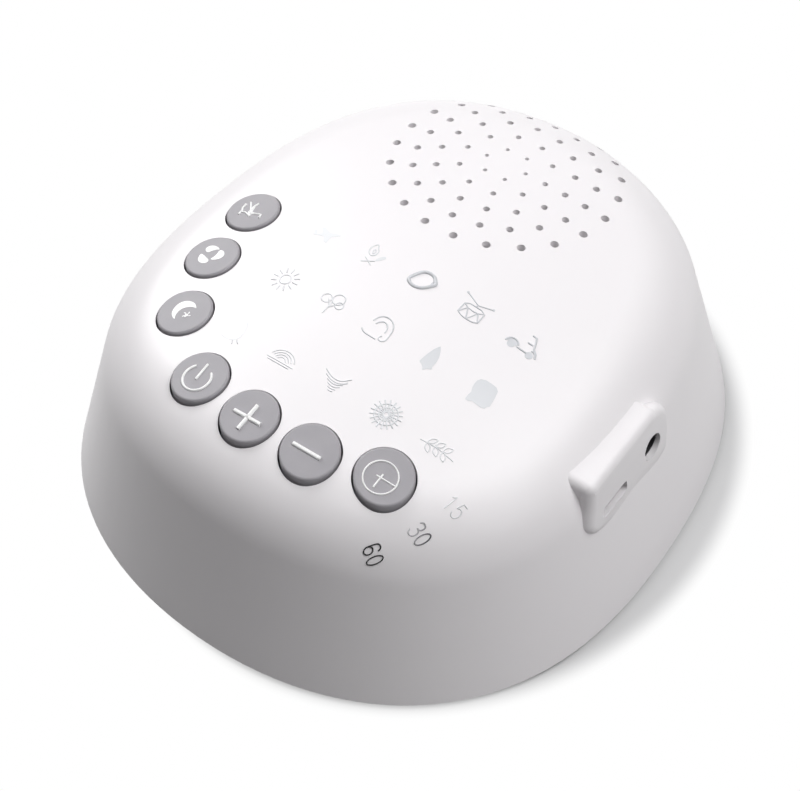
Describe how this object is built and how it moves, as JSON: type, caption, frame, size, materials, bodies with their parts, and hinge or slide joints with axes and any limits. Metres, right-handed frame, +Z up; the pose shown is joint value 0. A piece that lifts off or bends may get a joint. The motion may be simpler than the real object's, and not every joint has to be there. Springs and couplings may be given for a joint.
{
  "type": "white noise sound machine",
  "caption": "Low rounded white sound machine with a speaker grille, an arc of grey push-buttons, printed sound symbols and a side pad with audio and charging sockets.",
  "frame": {"origin": "on the table plane under the middle of the housing's outline, at the undersides of the feet", "axes": "+X to the side with the sockets, +Y to the back where the speaker is, +Z up"},
  "size_m": [0.11, 0.122, 0.0411],
  "materials": {
    "shell_white": "satin white ABS",
    "cover_white": "matte white ABS",
    "button_grey": "satin grey",
    "foot_rubber": "matte",
    "switch_black": "matte",
    "plunger_white": "matte",
    "socket_black": "matte",
    "bright_steel": "plated",
    "screw_steel": "zinc plated",
    "board_green": "solder mask",
    "chip_black": "matte",
    "capacitor_sleeve": "satin sleeve",
    "led_white": "clear epoxy",
    "plug_white": "nylon",
    "basket_steel": "pressed",
    "magnet_grey": "ferrite",
    "cone_paper": "pressed paper",
    "surround_rubber": "matte",
    "coil_copper": "enamelled",
    "speaker_cloth": "felt",
    "battery_foil": "foil pouch",
    "lead_red": "insulation",
    "lead_black": "insulation"
  },
  "bodies": {
    "housing": {"top_shell": "shell_white", "bottom_cover": "cover_white", "case_screws": "screw_steel", "audio_jack": "socket_black", "usb_socket_shell": "bright_steel", "rubber_foot_front_left": "foot_rubber", "rubber_foot_front_right": "foot_rubber", "rubber_foot_back_left": "foot_rubber", "rubber_foot_back_right": "foot_rubber", "main_board": "board_green", "sound_chip": "chip_black", "amplifier_chip": "chip_black", "charger_chip": "chip_black", "memory_chip": "chip_black", "timing_crystal": "bright_steel", "timer_led_15": "led_white", "timer_led_30": "led_white", "timer_led_60": "led_white", "smoothing_capacitor": "capacitor_sleeve", "usb_socket_tongue": "socket_black", "speaker_plug": "plug_white", "battery_plug": "plug_white", "board_screws": "screw_steel", "speaker_screws": "screw_steel", "speaker_basket": "basket_steel", "speaker_magnet": "magnet_grey", "speaker_cone": "cone_paper", "speaker_surround": "surround_rubber", "speaker_dust_cap": "cone_paper", "voice_coil": "coil_copper", "speaker_cloth": "speaker_cloth", "speaker_terminal": "board_green", "battery_cell": "battery_foil", "battery_lead_red": "lead_red", "battery_lead_black": "lead_black", "speaker_lead_red": "lead_red", "speaker_lead_black": "lead_black", "bird_switch_body": "switch_black", "fan_switch_body": "switch_black", "moon_switch_body": "switch_black", "power_switch_body": "switch_black", "volume_up_switch_body": "switch_black", "volume_down_switch_body": "switch_black", "timer_switch_body": "switch_black"},
    "bird_button": {"bird_button": "button_grey", "bird_switch_plunger": "plunger_white"},
    "fan_button": {"fan_button": "button_grey", "fan_switch_plunger": "plunger_white"},
    "moon_button": {"moon_button": "button_grey", "moon_switch_plunger": "plunger_white"},
    "power_button": {"power_button": "button_grey", "power_switch_plunger": "plunger_white"},
    "volume_up_button": {"volume_up_button": "button_grey", "volume_up_switch_plunger": "plunger_white"},
    "volume_down_button": {"volume_down_button": "button_grey", "volume_down_switch_plunger": "plunger_white"},
    "timer_button": {"timer_button": "button_grey", "timer_switch_plunger": "plunger_white"}
  },
  "joints": [
    {"name": "bird_button_press", "type": "slide", "parent": "housing", "child": "bird_button", "axis": [0, 0, -1], "range_m": [0, 0.0005], "stiffness_N_per_m": 1500, "springref_m": -0.0002},
    {"name": "fan_button_press", "type": "slide", "parent": "housing", "child": "fan_button", "axis": [0, 0, -1], "range_m": [0, 0.0005], "stiffness_N_per_m": 1500, "springref_m": -0.0002},
    {"name": "moon_button_press", "type": "slide", "parent": "housing", "child": "moon_button", "axis": [0, 0, -1], "range_m": [0, 0.0005], "stiffness_N_per_m": 1500, "springref_m": -0.0002},
    {"name": "power_button_press", "type": "slide", "parent": "housing", "child": "power_button", "axis": [0, 0, -1], "range_m": [0, 0.0005], "stiffness_N_per_m": 1500, "springref_m": -0.0002},
    {"name": "volume_up_button_press", "type": "slide", "parent": "housing", "child": "volume_up_button", "axis": [0, 0, -1], "range_m": [0, 0.0005], "stiffness_N_per_m": 1500, "springref_m": -0.0002},
    {"name": "volume_down_button_press", "type": "slide", "parent": "housing", "child": "volume_down_button", "axis": [0, 0, -1], "range_m": [0, 0.0005], "stiffness_N_per_m": 1500, "springref_m": -0.0002},
    {"name": "timer_button_press", "type": "slide", "parent": "housing", "child": "timer_button", "axis": [0, 0, -1], "range_m": [0, 0.0005], "stiffness_N_per_m": 1500, "springref_m": -0.0002}
  ]
}
